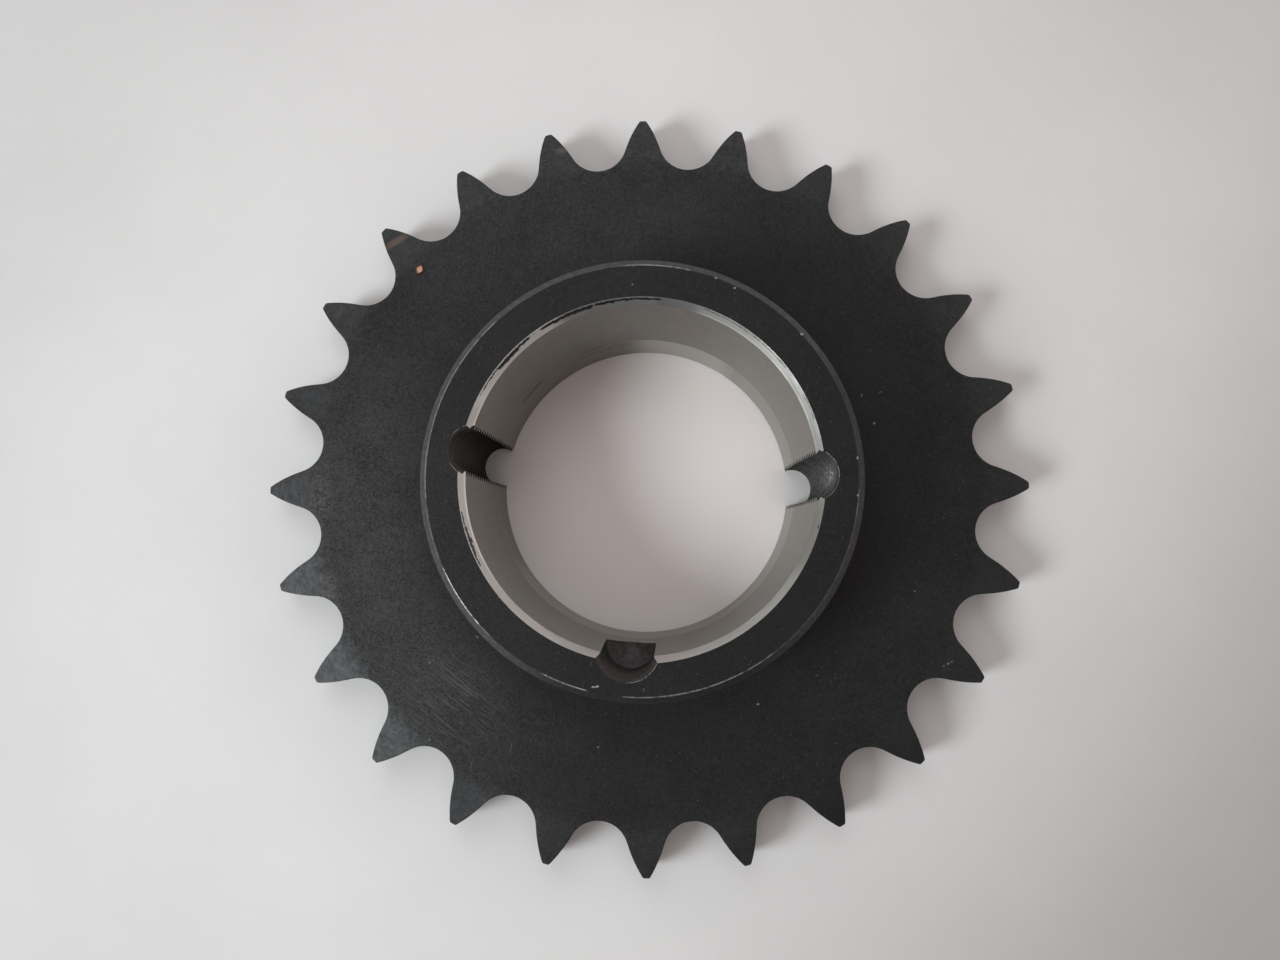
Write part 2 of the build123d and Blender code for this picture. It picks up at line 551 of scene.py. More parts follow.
def polar_group():
    """Where a point is on a turned piece: mm from its axis, degrees round it and height."""
    numbers = {name: "Float" for name in ("Radius", "Degrees", "Height")}
    outputs = {"Place": "Vector", "Around": "Vector", **numbers}
    tree, given = new_group("polar_place", {"Vector": "Vector"}, outputs)
    place = vector_math(tree, "SCALE", given["Vector"], 1 / mm)
    x, y, height = axes(tree, place)
    radius = (x**2 + y**2).math("SQRT")
    found = {
        "Place": place,
        "Around": vector(tree, x / radius, y / radius),
        "Radius": radius,
        "Degrees": y.math("ARCTAN2", x) * (180 / pi),
        "Height": height,
    }
    return ended(tree, found)


def noise(place, size, detail=3.0, roughness=0.6):
    """Soft noise about 0.5, with features about as wide as the size, in mm."""
    inputs = {"Vector": place, "Scale": 1 / size, "Detail": detail, "Roughness": roughness}
    return Field(node(place.tree, "ShaderNodeTexNoise", inputs).outputs["Fac"])


def grain_group():
    """Fine grain, small mottles and slow clouds of a steel surface, each from 0 to 1."""
    inputs = {"Place": "Vector", "Grain Size": 0.55, "Mottle Size": 1.4, "Cloud Size": 16.0}
    outputs = {name: "Float" for name in ("Grain", "Mottle", "Cloud")}
    tree, given = new_group("grain", inputs, outputs)
    spot = given["Place"]
    found = {
        "Grain": noise(spot, given["Grain Size"], detail=2.0).step(0.34, 0.66),
        "Mottle": noise(spot, given["Mottle Size"], roughness=0.65).step(0.34, 0.66),
        "Cloud": noise(spot, given["Cloud Size"], detail=4.0).step(0.32, 0.68),
    }
    return ended(tree, found)


def tool_mark_group():
    """Fine lines left round the axis by the lathe's tool; Travel is how far it has moved."""
    inputs = {"Around": "Vector", "Travel": 0.0, "Line Width": 0.3, "Turns Alike": 0.15}
    tree, given = new_group("tool_marks", inputs, {"Lines": "Float"})
    spread = vector_math(tree, "SCALE", given["Around"], 1 / given["Turns Alike"])
    lift = vector(tree, z=given["Travel"] / given["Line Width"])
    spot = vector_math(tree, "ADD", spread, lift)
    lines = noise(spot, size=1.0, roughness=0.65).step(0.3, 0.7)
    return ended(tree, {"Lines": lines})


def turned_back(tree, place, degrees):
    """A place turned about the axis, which brings a direction in degrees to lie along X."""
    inputs = {"Vector": place, "Angle": degrees * (-pi / 180)}
    return node(tree, "ShaderNodeVectorRotate", inputs, rotation_type="Z_AXIS").outputs[0]


def scratch_group():
    """Fine scratches that all run one way; Share is how much of the surface has them."""
    inputs = {"Place": "Vector", "Degrees": 0.0, "Length": 8.0, "Width": 0.3, "Share": 0.3}
    tree, given = new_group("scratches", inputs, {"Mask": "Float"})
    turned = turned_back(tree, given["Place"], given["Degrees"])
    along, across = 1 / given["Length"], 1 / given["Width"]
    spot = vector_math(tree, "MULTIPLY", turned, vector(tree, along, across, along))
    lines = noise(spot, size=1.0, detail=1.0, roughness=0.5)
    edge = 0.76 - given["Share"] * 0.26
    return ended(tree, {"Mask": lines.step(edge, edge + 0.09)})


def speck_group():
    """Small round specks: one in a cell, in the share of cells that is asked for."""
    inputs = {"Place": "Vector", "Spacing": 4.0, "Size": 0.2, "Share": 0.3}
    tree, given = new_group("specks", inputs, {"Mask": "Float"})
    cells = {"Vector": given["Place"], "Scale": 1 / given["Spacing"], "Randomness": 1.0}
    distance, chance = fields(node(tree, "ShaderNodeTexVoronoi", cells), "Distance", "Color")
    draws = node(tree, "ShaderNodeSeparateColor", {0: chance})
    first_draw, second_draw = fields(draws, "Red", "Green")
    kept = first_draw.math("LESS_THAN", given["Share"])
    size = given["Size"] * (second_draw * 0.8 + 0.4)
    speck = (distance * given["Spacing"]).step(size, size * 0.4)
    return ended(tree, {"Mask": speck * kept})


def arc_group():
    """1 on the arc between two directions round the axis, in degrees, fading out at both ends."""
    inputs = {"Degrees": 0.0, "Middle": 0.0, "Half Span": 10.0, "Fade": 3.0}
    tree, given = new_group("arc_window", inputs, {"Mask": "Float"})
    away = abs(((given["Degrees"] - given["Middle"]) / 360 + 0.5).math("FRACT") - 0.5) * 360
    span, fade = given["Half Span"], given["Fade"]
    return ended(tree, {"Mask": away.step(span + fade, span - fade)})


def mark_group():
    """One mark on a flat face, turned to a direction: diamond at a Roundness of 1, oval at 2."""
    inputs = {
        "Place": "Vector",
        "Centre": "Vector",
        "Degrees": 0.0,
        "Length": 1.0,
        "Width": 0.5,
        "Roundness": 2.0,
        "Raggedness": 0.8,
        "Softness": 0.3,
    }
    tree, given = new_group("single_mark", inputs, {"Mask": "Float"})
    moved = vector_math(tree, "SUBTRACT", given["Place"], given["Centre"])
    x, y, z = axes(tree, turned_back(tree, moved, given["Degrees"]))
    power, soft = given["Roundness"], given["Softness"]
    along, across = abs(x * 2 / given["Length"]) ** power, abs(y * 2 / given["Width"]) ** power
    reach = along + across + abs(z / 2) ** power
    wander = (noise(given["Place"], size=0.45, detail=2.0) - 0.5) * 2
    edge = reach ** (1 / power) + wander * given["Raggedness"]
    return ended(tree, {"Mask": edge.step(1 + soft, 1 - soft)})


polar, grain, tool_marks, scratches = (
    polar_group(), grain_group(), tool_mark_group(), scratch_group()
)
specks, arc_window, single_mark = speck_group(), arc_group(), mark_group()


def over(under, colour, mask):
    """Lays one colour over another where the mask is 1."""
    made = node(mask.tree, "ShaderNodeMix", {0: mask, 6: under, 7: colour}, data_type="RGBA")
    return made.outputs[2]


def new_finish(name, **constants):
    """A material, its tree, its one shader and the node that says where a point is."""
    material = bpy.data.materials.new(name)
    material.use_nodes = True
    tree = material.node_tree
    shader = next(each for each in tree.nodes if each.type == "BSDF_PRINCIPLED")
    for socket, value in constants.items():
        shader.inputs[socket.replace("_", " ")].default_value = value
    spot = tree.nodes.new("ShaderNodeTexCoord").outputs["Object"]
    place = use(tree, polar, {"Vector": spot})
    return material, tree, shader, place


def bumped(tree, height, depth):
    """The normals of a fine relief, from its height between 0 and 1 and its depth."""
    inputs = {"Strength": 1.0, "Distance": depth, "Height": height}
    return node(tree, "ShaderNodeBump", inputs).outputs[0]


def masked(tree, group, inputs):
    """A group's one mask."""
    return Field(use(tree, group, inputs).outputs[0])


def highest(masks):
    """The largest of several masks at each point."""
    found, *others = masks
    for each in others:
        found = found.high(each)
    return found


def windows(degrees, arcs, fade):
    """The strengths of arcs, each given as start, end and strength, in degrees."""

    def window(start, end):
        span = {"Middle": (start + end) / 2, "Half Span": (end - start) / 2}
        return masked(degrees.tree, arc_window, {"Degrees": degrees, **span, "Fade": fade})

    return highest(window(start, end) * strength for start, end, strength in arcs)


def marks_at(spot, level, entries, **others):
    """Marks given as x, y, direction, length, width and strength, on a face at one height."""

    def mark(x, y, degrees, length, width):
        size = {"Degrees": degrees, "Length": length, "Width": width}
        inputs = {"Place": spot, "Centre": (x, y, level), **size, **others}
        return masked(spot.tree, single_mark, inputs)

    return highest(mark(*entry[:5]) * entry[5] for entry in entries)


# The coat's bands, in mm from the axis or above the back: where each starts and is full;
# then the arcs where it is worn or drawn lighter, in degrees, the lighter arcs being painted
# light towards the window lamp and the worn rim's brightest arc a painted highlight; and its
# marks and stains, in mm.
thin_radii = (54.0, 74.0)
bevel_radii, bevel_heights = (87.5, 94.0), (3.2, 4.4)
rim_inner, rim_outer, rim_bottom = (52.15, 52.55), (54.25, 53.9), (42.3, 42.7)
rim_line_radius, rim_line_width, rim_line_bottom = 52.42, (0.24, 0.06), (43.8, 44.1)
coat_relief = 0.05 * mm
worn_and_highlight_rim_arcs = (
    (81, 100, 0.46), (100, 136, 0.05), (137, 190, 0.3), (192, 206, 0.14), (209, 227, 0.72),
    (227, 231, 0.2), (248, 260, 0.5), (270, 280, 0.32), (280, 302, 0.44), (303, 311, 0.3),
    (311, 356, 0.08), (354, 361, 0.16),
)
lighter_rim_and_painted_light_arcs = ((30, 245, 1.0), (-50, 30, 0.55), (245, 310, 0.1))
painted_light_bevel_arcs = (
    (181, 240, 1.1), (240, 258, 0.8), (60, 175, 0.5), (258, 292, 0.35), (-40, 10, 0.2),
    (10, 60, 0.3),
)
thin_coat_and_painted_light_arcs = ((160, 242, 1.0), (75, 160, 0.42), (12, 80, 0.17))
rust_streaks = (
    (-74.6, 63.7, 215, 6.6, 2.0, 1.0), (-30.0, 92.9, 195, 4.2, 1.7, 0.8),
    (-88.5, 42.7, 60, 4.0, 2.0, 0.3),
)
stain_lift = 1.2
flake = (-67.1, 56.0, 68, 2.6, 1.95)
scratch_patch = ((-47.6, -61.8, -33, 25.0, 20.0, 1.0),)
# Direction, length, width, share and strength; the first are only in the patch
scratch_kinds = (
    (-32, 8.0, 0.42, 0.75, 0.62), (71, 3.6, 0.26, 0.18, 0.45), (-18, 4.5, 0.24, 0.1, 0.5),
)
long_scratches = (
    (-46.2, -55.0, -36, 13.0, 0.34, 0.75), (-44.0, -57.8, -30, 10.5, 0.45, 0.55),
    (-43.9, -53.9, -27, 3.8, 0.3, 0.6), (-30.2, -72.3, 84, 2.9, 0.3, 0.7),
    (-40.4, -77.8, 86, 3.0, 0.3, 0.55), (-34.9, -66.5, 74, 2.6, 0.28, 0.35),
)
plate_nicks = (
    (73.9, -22.5, 0, 0.55, 0.5, 0.4), (82.6, -41.5, 40, 0.6, 0.4, 0.35),
    (83.6, -40.9, 40, 0.7, 0.45, 0.55), (84.6, -40.3, 30, 0.6, 0.4, 0.45),
    (56.9, 29.1, 80, 1.1, 0.4, 0.45), (61.9, 30.4, 30, 0.65, 0.4, 0.35),
    (60.7, 21.7, -25, 0.8, 0.55, 0.6), (-41.9, -43.6, 0, 0.7, 0.5, 0.35),
    (-54.0, -51.5, 0, 0.6, 0.5, 0.4), (-52.2, -71.9, 0, 0.65, 0.55, 0.4),
    (34.5, -55.4, 20, 0.9, 0.4, 0.6),
)
bevel_scuffs = ((-83.2, -34.0, 105, 8.0, 4.5, 0.85), (-88.3, -9.5, 94, 14.0, 5.0, 0.8))
hub_nicks = (
    (36.5, 37.7, 0, 0.9, 0.6, 0.9), (19.5, 48.0, 0, 0.6, 0.5, 0.8),
    (14.7, 50.2, 20, 0.7, 0.5, 0.7), (-7.4, -50.7, 10, 0.8, 0.5, 0.75),
    (-6.5, -50.5, 30, 0.8, 0.5, 0.9), (4.6, -50.4, 75, 1.0, 0.25, 0.22),
    (52.2, -0.5, 90, 0.6, 0.4, 0.8), (51.6, 8.5, 90, 0.7, 0.4, 0.85),
)


def black_finish():
    """The matt coat: thin on the plate, lighter on the bevels and the hub's rim, and marked; the
    plate and bevels are drawn lighter towards the window lamp and the rim faint at the front, which
    is painted light, and the rim's edge has a painted highlight.
    """
    material, tree, shader, place = new_finish("blackened_steel", IOR=1.29)
    spot, around, radius = fields(place, "Place", "Around", "Radius")
    degrees, height = fields(place, "Degrees", "Height")
    fine, mottle, cloud = fields(use(tree, grain, {"Place": spot}), "Grain", "Mottle", "Cloud")
    level, face_level = plate_thickness / mm, hub_height / mm
    outward = radius.step(*thin_radii)
    # Painted light: the coat is drawn lighter on the arcs towards the window lamp, partly standing
    # for a thinner coat there.
    thin = windows(degrees, thin_coat_and_painted_light_arcs, fade=30.0) * (outward * 0.54 + 0.19)
    thin = thin + outward * 0.07 + 0.22
    flecked = noise(spot, size=0.42, roughness=0.7).step(0.42, 0.78)
    grains = flecked * 0.46 + fine * 0.4 + mottle * 0.13 + cloud * 0.2
    colour = over(coat_black, coat_grey, grains * thin)

    # The turned bevels on the teeth are a shade lighter, blotched, with the tool's lines; towards
    # the window lamp they are drawn lighter still, which is painted light.
    ragged = radius + (mottle - 0.5) * 2.4
    on_bevel = ragged.step(*bevel_radii) * abs(height - level / 2).step(*bevel_heights)
    turning = {"Around": around, "Travel": radius, "Line Width": 0.6, "Turns Alike": 0.022}
    lines = masked(tree, tool_marks, turning)
    blotch = noise(spot, size=2.6, detail=4.0, roughness=0.7).step(0.32, 0.66)
    light = windows(degrees, painted_light_bevel_arcs, fade=14.0)
    tone = (lines * 0.45 + blotch * 0.35 + fine * 0.2) * light
    grey = over(bevel_black, bevel_grey, tone)
    colour = over(colour, grey, on_bevel * (light * 0.6 + 0.25))

    # The hub's rim: a lighter chamfer, drawn full round most of the hub and faint at the
    # front, which is painted light; rubbed bright along its inner edge, brightest where the edge
    # faces the window lamp, which is a painted highlight
    on_rim = radius.step(*rim_inner) * radius.step(*rim_outer) * height.step(*rim_bottom)
    rim = over(rim_black, rim_grey, fine * 0.35 + mottle * 0.35 + 0.15)
    light = windows(degrees, lighter_rim_and_painted_light_arcs, fade=16.0)
    colour = over(colour, rim, on_rim * light)
    # The bright hairline on the rim's inner edge: worn metal, with a painted highlight on the arc
    # that faces the window lamp.
    edge = abs(radius - rim_line_radius).step(*rim_line_width) * height.step(*rim_line_bottom)
    broken = noise(spot, size=1.6, roughness=0.75).step(0.36, 0.56)
    worn = windows(degrees, worn_and_highlight_rim_arcs, fade=0.8)
    hairline_and_highlight = edge * worn * (broken * 0.75 + 0.25)
    colour = over(colour, bright_steel, hairline_and_highlight)

    # Scratches: one raked patch, two faint kinds all over and a few long ones
    def scratched(turn, length, width, share, strength):
        size = {"Degrees": turn, "Length": length, "Width": width, "Share": share}
        return masked(tree, scratches, {"Place": spot, **size}) * strength

    raked, rubbed, crossed = (scratched(*kind) for kind in scratch_kinds)
    patch = marks_at(spot, level, scratch_patch, Softness=0.7, Raggedness=0.2)
    long_marks = marks_at(spot, level, long_scratches, Raggedness=0.5)
    scuffs = highest((raked * patch, rubbed, crossed, long_marks))
    colour = over(colour, scuff_grey, scuffs)

    # Grazes, dust, nicks and rust
    grazed = marks_at(spot, level, bevel_scuffs, Softness=0.8)
    grazed = grazed * noise(spot, size=1.0, roughness=0.7).step(0.45, 0.59)
    colour = over(colour, graze_tan, grazed * 0.65)
    small = {"Place": spot, "Spacing": 1.2, "Size": 0.2, "Share": 0.42}
    large = {"Place": spot, "Spacing": 7.0, "Size": 0.3, "Share": 0.3}
    dust, flecks = masked(tree, specks, small) * 0.14, masked(tree, specks, large) * 0.42
    on_plate = marks_at(spot, level, plate_nicks)
    nicks = on_plate.high(marks_at(spot, face_level, hub_nicks))
    colour = over(colour, dust_grey, highest((dust, flecks, nicks * 0.8)))
    soaked = {"Roundness": 3.0, "Raggedness": 0.6, "Softness": 0.45}
    stains = marks_at(spot, level - stain_lift, rust_streaks, **soaked)
    colour = over(colour, rust_and_glint_tan, stains * 0.8)

    # One flake of old coat: its shadow, its dark edge and its tan middle
    def flaked(right, up, scale):
        x, y, turn, length, width = flake
        mark = (x + right, y + up, turn, length * scale, width * scale, 1.0)
        return marks_at(spot, level, (mark,), Roundness=1.25, Raggedness=0.12)

    colour = over(colour, coat_black, flaked(0.28, -0.18, 1.35))
    colour = over(colour, flake_edge, flaked(0.0, 0.0, 1.0))
    colour = over(colour, flake_tan, flaked(0.1, -0.1, 0.8) * (mottle * 0.4 + 0.7).low(1.0))

    rough = 0.5 + fine * 0.1 + cloud * 0.06 - on_rim * 0.08 - hairline_and_highlight * 0.15
    fill(shader.inputs["Base Color"], colour)
    fill(shader.inputs["Roughness"], rough)
    fill(shader.inputs["Metallic"], hairline_and_highlight * 0.7)
    fill(shader.inputs["Normal"], bumped(tree, fine * 0.5 + mottle * 0.5, coat_relief))
    return material


# Scraps of coat on the mouth's chamfer, as arcs with how far down they reach in mm; dark
# smears in the bore, as arcs with a height, a spread and a strength; the chamfer's tones,
# with the arcs of a painted highlight along its lower edge; the arc of the wall towards the
# window lamp, drawn lighter, which is painted light, partly cleaner metal; and the line
# where the finishing cut ends, with the arcs of cleaner metal round it.
mouth_heights = (42.93, 43.03)
mouth_line_height, mouth_line_width = 43.06, (0.3, 0.12)
mouth_highlight_arcs = ((122, 218, 0.7), (15, 75, 0.5))
pink_arcs = ((122, 300, 1.0),)
scrap_arcs = (
    (71, 75, 0.3), (88, 104, 0.64), (102, 109, 0.78), (109.5, 119, 0.88), (118.5, 124, 0.8),
    (123, 128.3, 0.72), (130, 132, 0.42), (132.5, 147.5, 0.74), (137, 146.5, 0.92),
    (146, 155, 0.46), (161.5, 162.3, 0.34), (195, 202, 0.48), (200, 209, 0.66),
    (203, 205.5, 0.95), (207, 213, 0.52), (343, 344.5, 0.3), (348, 350, 0.42),
)
faint_scrap_arcs = ((41, 74, 0.5), (22, 36, 0.34), (153, 158, 0.5))
stained_arcs = ((75.5, 91, 0.8), (90, 121, 0.5))
polished_arcs = ((123, 160, 0.72), (40, 54, 0.2))
dull_arcs = ((334, 357, 0.85), (8, 34, 0.35), (67, 122, 0.25))
smears = (
    (138, 149, 13.2, 1.2, 0.75), (110, 122, 13.0, 1.0, 0.4), (99, 126, 10.0, 3.0, 0.25),
    (277, 282, 15.0, 0.9, 0.25), (241, 246, 15.0, 0.9, 0.2),
)
finish_line_height, finish_line_width, finish_line_blur = 13.2, (0.3, 0.08), 0.25
cleaner_and_painted_light_wall_arcs = ((-28, 64, 0.19),)
clean_cut_arcs = ((58, 98, 0.85), (-145, 58, 0.42), (98, 215, 0.08))
cut_relief = 0.012 * mm


def bare_finish():
    """Bare machined steel: the bore's wall, its mouth's chamfer and what coat is left there."""
    material, tree, shader, place = new_finish("bored_steel")
    spot, around, degrees, height = fields(place, "Place", "Around", "Degrees", "Height")
    texture = use(tree, grain, {"Place": spot, "Grain Size": 0.6, "Cloud Size": 12.0})
    fine, mottle, cloud = fields(texture, "Grain", "Mottle", "Cloud")
    turning = {"Around": around, "Travel": height, "Line Width": 0.35, "Turns Alike": 0.25}
    lines = masked(tree, tool_marks, turning)
    tone = lines * 0.3 + cloud * 0.32 + mottle * 0.24 + fine * 0.14
    colour = over(bore_dark, bore_grey, tone)
    rosy = noise(spot, size=8.0, detail=4.0).step(0.42, 0.6)
    colour = over(colour, bore_rose, rosy * 0.42)
    # Painted light: the arc of the wall towards the window lamp is drawn lighter, partly cleaner
    # cut steel.
    clean_cut_and_painted_light = windows(degrees, cleaner_and_painted_light_wall_arcs, fade=14.0)
    colour = over(colour, cut_steel, clean_cut_and_painted_light)

    below = finish_line_height - finish_line_blur, finish_line_height + finish_line_blur
    clean_cut_and_painted_light = windows(degrees, clean_cut_arcs, fade=8.0)
    colour = over(colour, cut_steel, height.step(below[1], below[0]) * clean_cut_and_painted_light)
    line = abs(height - finish_line_height).step(*finish_line_width)
    line = line * noise(spot, size=5.0, roughness=0.7).step(0.38, 0.58)
    colour = over(colour, bore_dark, line * 0.6)

    # The chamfer, from pinkish to polished, with a painted highlight along the crisp edge where it
    # meets the bore
    on_chamfer = height.step(*mouth_heights)
    pink = (cloud * 0.6 + mottle * 0.4) * windows(degrees, pink_arcs, fade=20.0)
    stained = windows(degrees, stained_arcs, fade=3.0) * (cloud * 0.3 + 0.7)
    chamfer = over(mouth_steel, mouth_pink, pink)
    chamfer = over(chamfer, stain_blue, stained)
    chamfer = over(chamfer, bore_dark, windows(degrees, dull_arcs, fade=5.0) * 0.7)
    chamfer = over(chamfer, mouth_edge, windows(degrees, polished_arcs, fade=4.0))
    colour = over(colour, chamfer, on_chamfer)
    # Painted highlight along the crisp edge where the chamfer meets the bore.
    crisp = abs(height - mouth_line_height).step(*mouth_line_width)
    crisp = crisp * windows(degrees, mouth_highlight_arcs, fade=6.0)
    colour = over(colour, mouth_edge, crisp)

    smear = highest(
        windows(degrees, ((start, end, strength),), fade=2.0)
        * abs(height - level).step(spread, 0.0)
        for start, end, level, spread, strength in smears
    )
    smear = smear * noise(spot, size=1.8, detail=4.0, roughness=0.7).step(0.3, 0.62)
    colour = over(colour, hole_black, smear)

    # The scraps of coat have a ragged lower edge and a thin clean line above them.
    below_face = hub_height / mm - height
    clean_edge = below_face + (fine - 0.5) * 0.16
    ragged = (noise(spot, size=1.6, detail=4.0) - 0.5) * 0.9
    reach = windows(degrees + (mottle - 0.5) * 1.2, scrap_arcs, fade=0.6)
    scraps = (reach + ragged * reach.step(0.2, 0.6) - below_face).step(0.0, 0.09)
    faint = windows(degrees, faint_scrap_arcs, fade=1.5) + ragged * 0.5 - below_face
    faint = faint.step(0.0, 0.12) * clean_edge.step(0.1, 0.24) * (mottle * 0.4 + 0.3)
    residue = (scraps * clean_edge.step(0.14, 0.24)).high(faint)
    colour = over(colour, scrap_black, residue)

    rough = 0.42 + lines * 0.1 + cloud * 0.06 - on_chamfer * 0.14
    fill(shader.inputs["Base Color"], colour)
    fill(shader.inputs["Metallic"], (1 - residue) * (0.85 - on_chamfer * 0.25))
    fill(shader.inputs["Roughness"], rough)
    fill(shader.inputs["Normal"], bumped(tree, lines * 0.7 + fine * 0.3, cut_relief))
    return material


# The half-holes' lighter places, as arcs, a fade in degrees and heights to step between:
# the right-hand hole is rubbed inside, most in its middle, where the thread is worn
# bright, with painted glints on its crests, and the plain hole's cone is paler. Last, the
# bright edges of the mouths, partly worn and partly painted highlights.
rubbed_place = (((-4, 14, 1.0),), 1.5, (43.8, 41.5))
middle_place = (((2.5, 6.5, 1.0),), 4.0, (8.0, 36.0), (43.8, 41.0))
worn_and_glint_place = (((2.8, 8.0, 1.0),), 1.2, (28.0, 34.0), (42.5, 40.0))
cone_place = (((-99, -81, 1.0),), 2.0, (24.0, 22.4))
mouth_greys = (42.6, 43.8)
bright_heights = (44.28, 44.42)
bright_edge_and_highlight_arcs = (
    (4, 13, 0.5), (-2, 4, 0.25), (271, 280, 0.45), (167, 171.5, 0.45), (180, 182.5, 0.6),
)
streak_stretch = (0.9, 0.9, 2.6)


def hole_finish():
    """The half-holes' blackened walls, lighter where they are rubbed and at their mouths, with
    painted glints in them and painted highlights on parts of their edges.
    """
    material, tree, shader, place = new_finish("blackened_hole", IOR=1.38)
    spot, degrees, height = fields(place, "Place", "Degrees", "Height")
    sizes = {"Grain Size": 0.4, "Mottle Size": 1.2, "Cloud Size": 4.0}
    texture = use(tree, grain, {"Place": spot, **sizes})
    fine, mottle, cloud = fields(texture, "Grain", "Mottle", "Cloud")

    def kept_to(arcs, fade, *heights):
        mask = windows(degrees, arcs, fade)
        for start, end in heights:
            mask = mask * height.step(start, end)
        return mask

    colour = over(hole_black, hole_grey, fine * 0.1 + mottle * 0.14 + cloud * 0.14)
    colour = over(colour, coat_grey, height.step(*mouth_greys) * (fine * 0.15 + 0.1))
    rubbed = kept_to(*rubbed_place) * (mottle * 0.45 + cloud * 0.35 + fine * 0.35)
    colour = over(colour, hole_rubbed, rubbed)
    middle = kept_to(*middle_place) * (mottle * 0.35 + fine * 0.45 + 0.15)
    colour = over(colour, hole_worn, middle)
    cone = kept_to(*cone_place) * (cloud * 0.2 + mottle * 0.13 + 0.03)
    colour = over(colour, hole_worn, cone)
    # Bright streaks along the thread in the right-hand hole: worn metal with painted glints.
    streak = vector_math(tree, "MULTIPLY", spot, streak_stretch)
    worn = noise(streak, size=0.8, roughness=0.65).step(0.55, 0.66)
    colour = over(colour, bright_steel, worn * kept_to(*worn_and_glint_place) * 0.8)
    # Brownish specks: painted glints.
    glint = {"Place": spot, "Spacing": 1.2, "Size": 0.24, "Share": 0.35}
    colour = over(colour, rust_and_glint_tan, masked(tree, specks, glint) * 0.8)
    # Bright edges of the mouths: partly worn, partly painted highlights.
    edge = height.step(*bright_heights) * noise(spot, size=1.2, detail=2.0).step(0.35, 0.55)
    bright = edge * windows(degrees, bright_edge_and_highlight_arcs, fade=0.8)
    colour = over(colour, bright_steel, bright)
    fill(shader.inputs["Base Color"], colour)
    fill(shader.inputs["Roughness"], 0.44 + fine * 0.14)
    fill(shader.inputs["Normal"], bumped(tree, fine * 0.5 + mottle * 0.5, coat_relief))
    return material


def made_by_tree(name, start_mesh, tree, values):
    """Runs a Geometry Nodes tree on a mesh and makes an object of the result."""
    start = bpy.data.objects.new(name + "_start", start_mesh)
    bpy.context.scene.collection.objects.link(start)
    modifier = start.modifiers.new("shape", "NODES")
    modifier.node_group = tree
    for item in tree.interface.items_tree:
        if item.in_out == "INPUT" and item.name in values:
            modifier[item.identifier] = values[item.name]
    start.modifiers.new("flat_faces", "WEIGHTED_NORMAL").keep_sharp = True
    depsgraph = bpy.context.evaluated_depsgraph_get()
    mesh = bpy.data.meshes.new_from_object(start.evaluated_get(depsgraph))
    bpy.data.objects.remove(start)
    mesh.name = name

    # Empty material places and the lathe's working values are dropped.
    used = [material for material in mesh.materials if material]
    renumber = {at: used.index(each) if each else 0 for at, each in enumerate(mesh.materials)}
    places = [renumber[face.material_index] for face in mesh.polygons]
    mesh.materials.clear()
    for material in used:
        mesh.materials.append(material)
    mesh.polygons.foreach_set("material_index", places)
    for layer in [each.name for each in mesh.attributes if each.name.startswith("lathe_")]:
        mesh.attributes.remove(mesh.attributes[layer])
    made = bpy.data.objects.new(name, mesh)
    bpy.context.scene.collection.objects.link(made)
    return made


sprocket = made_by_tree(
    "toothed_sprocket",
    section_mesh(),
    sprocket_group(),
    {"Finish": black_finish(), "Bore Finish": bare_finish(), "Hole Finish": hole_finish()},
)
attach(sprocket, "root")
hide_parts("sprocket")


# ---------------------------------------------------------------------------
# Floor
# A plain pale board that the sprocket lies on, matt, with soft clouds in its tone. It is
# drawn a little rosy inside the bore, a painted tint of the shade there, and dims towards
# one corner and far out, which is painted shade.
# ---------------------------------------------------------------------------

floor_pale = (0.715, 0.71, 0.705, 1.0)
floor_shade = (0.68, 0.675, 0.67, 1.0)
painted_shade_rose = (0.775, 0.708, 0.695, 1.0)
painted_shade_black = (0.0, 0.0, 0.0, 1.0)
floor_half_side = 3.0
floor_gap = 0.02 * mm

# In mm from the axis: where the rosy middle, a painted shade tint, ends, where the dimming,
# which is painted shade, starts and is full along its direction and all round, and how
# strong both are
painted_shade_rose_radii = (50.0, 34.0)
dim_direction, dim_reach, dim_strength = (0.8, -0.6, 0.0), (56.0, 200.0), 0.29
outer_radii, outer_strength = (120.0, 230.0), 0.14


def floor_finish():
    """The board's matt paint, with its clouds; its rosy middle and its dim corner are painted
    shade.
    """
    material, tree, shader, place = new_finish("pale_board", Roughness=0.7)
    spot, away = fields(place, "Place", "Radius")
    texture = use(tree, grain, {"Place": spot, "Grain Size": 1.5, "Cloud Size": 70.0})
    fine, cloud = fields(texture, "Grain", "Cloud")
    across = vector_math(tree, "DOT_PRODUCT", spot, dim_direction, "Value")
    # Painted shade: the board is drawn dimmer towards one corner and far out.
    shade = across.step(*dim_reach) * dim_strength + away.step(*outer_radii) * outer_strength
    colour = over(floor_shade, floor_pale, cloud * 0.8 + fine * 0.2)
    # Painted shade tint: the board is drawn rosy inside the bore.
    colour = over(colour, painted_shade_rose, away.step(*painted_shade_rose_radii))
    fill(shader.inputs["Base Color"], over(colour, painted_shade_black, shade))
    return material


corners = [(-1, -1), (1, -1), (1, 1), (-1, 1)]
floor_mesh = bpy.data.meshes.new("floor")
points = [(x * floor_half_side, y * floor_half_side, -floor_gap) for x, y in corners]
floor_mesh.from_pydata(points, [], [(0, 1, 2, 3)])
floor_mesh.materials.append(floor_finish())
floor = bpy.data.objects.new("floor", floor_mesh)
bpy.context.scene.collection.objects.link(floor)


# ---------------------------------------------------------------------------
# Light and camera
# A window-like lamp on the left and a weak panel at the back stand in a pale room: its
# walls are bright at the right, dim at the back and left and dark at the front, and its
# ceiling is pale only overhead. The camera looks almost straight down.
# ---------------------------------------------------------------------------

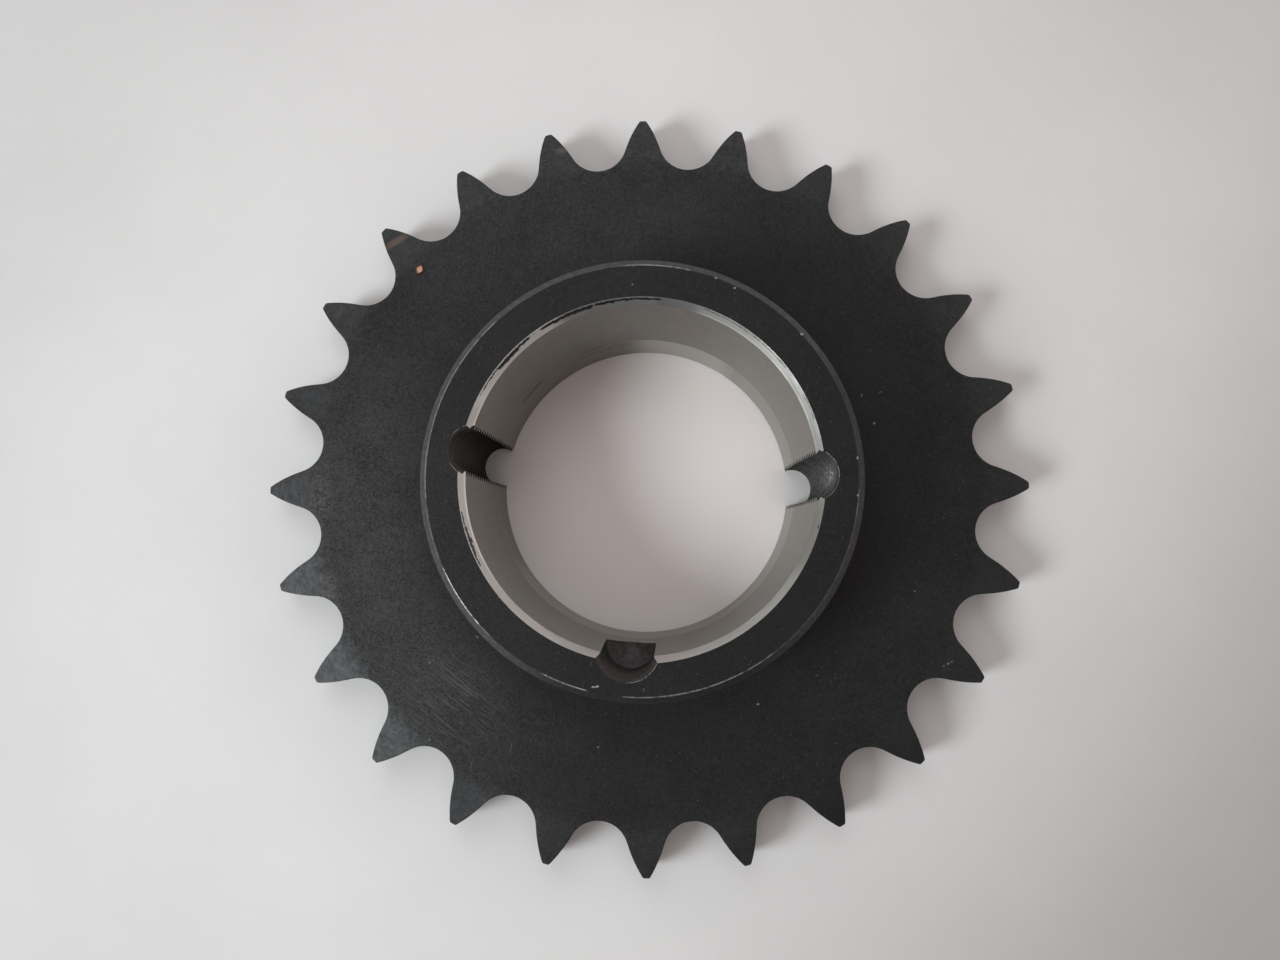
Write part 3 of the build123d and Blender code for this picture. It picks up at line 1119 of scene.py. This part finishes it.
# Name, direction round the axis, elevation, distance, size, watts and colour
lamps = (
    ("window", 209.5, 42.0, 1.1, 0.42, 7.3, (0.925, 1.0, 1.025)),
    ("back_panel", 108.0, 60.0, 0.6, 0.35, 0.55, (0.925, 1.0, 1.025)),
)
# The walls, as arcs seen from the sprocket with how bright each is
room_walls = (
    (-18, 27, 1.4), (27, 72, 1.35), (72, 117, 0.8), (117, 152, 0.9), (152, 184, 0.36),
    (184, 252, 0.68), (252, 297, 0.08), (297, 342, 0.34),
)
ceiling_strength, upper_wall_strength = 0.8, 0.12
room_colour = (1.11, 1.0, 0.97, 1.0)
# Sines of the elevation between which the walls end and the ceiling's pale middle starts
wall_tops, ceiling_edges = (0.56, 0.44), (0.79, 0.91)
backdrop_colour, backdrop_strength = (0.98, 0.98, 1.0, 1.0), 0.72


def add_lamp(name, around, elevation, distance, size, watts, colour):
    """A round soft lamp that faces the sprocket's middle and stays out of the picture."""
    light = bpy.data.lights.new(name, "AREA")
    light.shape = "DISK"
    light.size = size
    light.energy = watts
    light.color = colour
    made = bpy.data.objects.new(name, light)
    around, elevation = radians(around), radians(elevation)
    towards = Vector((cos(around) * cos(elevation), sin(around) * cos(elevation), sin(elevation)))
    made.location = towards * distance
    made.rotation_euler = towards.to_track_quat("Z", "Y").to_euler()
    made.visible_camera = False
    bpy.context.scene.collection.objects.link(made)


for lamp in lamps:
    add_lamp(*lamp)


def room_world():
    """The room round the floor, and an even pale backdrop for the camera itself."""
    world = bpy.data.worlds.new("room")
    world.use_nodes = True
    tree = world.node_tree
    background = next(each for each in tree.nodes if each.type == "BACKGROUND")
    direction = tree.nodes.new("ShaderNodeTexCoord").outputs["Generated"]
    x, y, z = axes(tree, direction)
    degrees = y.math("ARCTAN2", x) * (180 / pi)
    walls = sum(windows(degrees, (wall,), fade=8.0) for wall in room_walls)
    walls = (walls * z.step(*wall_tops)).high(upper_wall_strength)
    strength = walls.high(z.step(*ceiling_edges) * ceiling_strength)
    (seen,) = fields(tree.nodes.new("ShaderNodeLightPath"), "Is Camera Ray")
    fill(background.inputs["Color"], over(room_colour, backdrop_colour, seen))
    fill(background.inputs["Strength"], strength + seen * (backdrop_strength - strength))
    return world


bpy.context.scene.world = room_world()
bpy.context.scene.view_settings.view_transform = "Standard"

camera_data = bpy.data.cameras.new("camera")
camera_data.sensor_width = 36.0
camera_data.lens = 28.159
camera_data.clip_start = 0.01
camera_data.clip_end = 20.0
camera = bpy.data.objects.new("camera", camera_data)
camera.location = (9.971 * mm, -20.268 * mm, 285.026 * mm)
camera.rotation_euler = Euler((radians(4.8239), radians(2.0258), radians(4.3663)))
bpy.context.scene.collection.objects.link(camera)
bpy.context.scene.camera = camera
